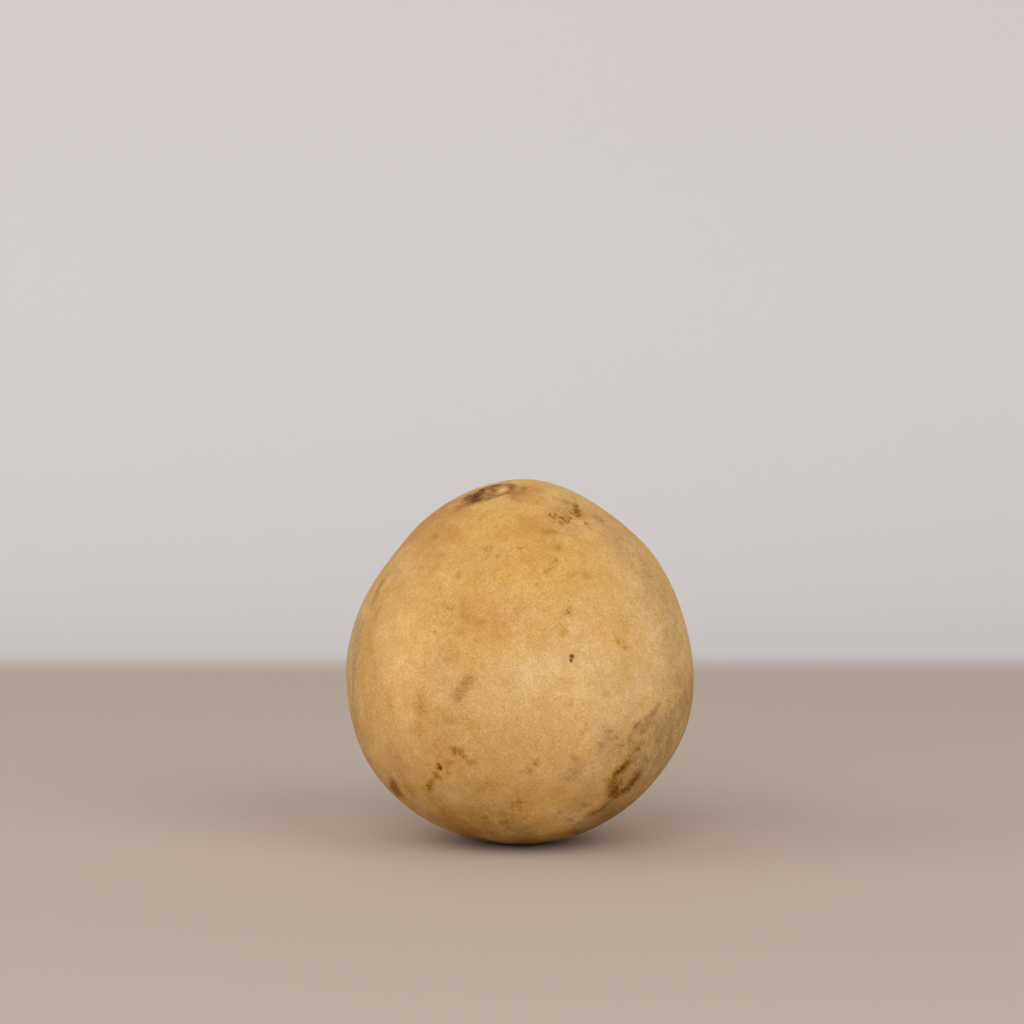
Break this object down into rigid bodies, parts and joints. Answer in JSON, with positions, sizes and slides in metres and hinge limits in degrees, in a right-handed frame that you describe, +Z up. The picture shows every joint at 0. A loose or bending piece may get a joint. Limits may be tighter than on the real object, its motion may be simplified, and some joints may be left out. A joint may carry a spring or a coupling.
{
  "type": "dried egg gourd",
  "caption": "Whole dried egg gourd, slightly taller than wide, with a broken-off stem scar on its crown and a small flat spot that it rests on.",
  "frame": {"origin": "on the surface that the gourd rests on, below the middle of its box", "axes": "+Z up from the flat spot, -Y towards the front side with the dark speck, where the stem scar leans to the upper left, and +X to the right seen from the front"},
  "size_m": [0.072, 0.071, 0.0751],
  "materials": {
    "rind": "matte dried rind, ochre with brown and olive stains"
  },
  "bodies": {
    "root": {"egg_gourd": "rind"}
  },
  "joints": []
}
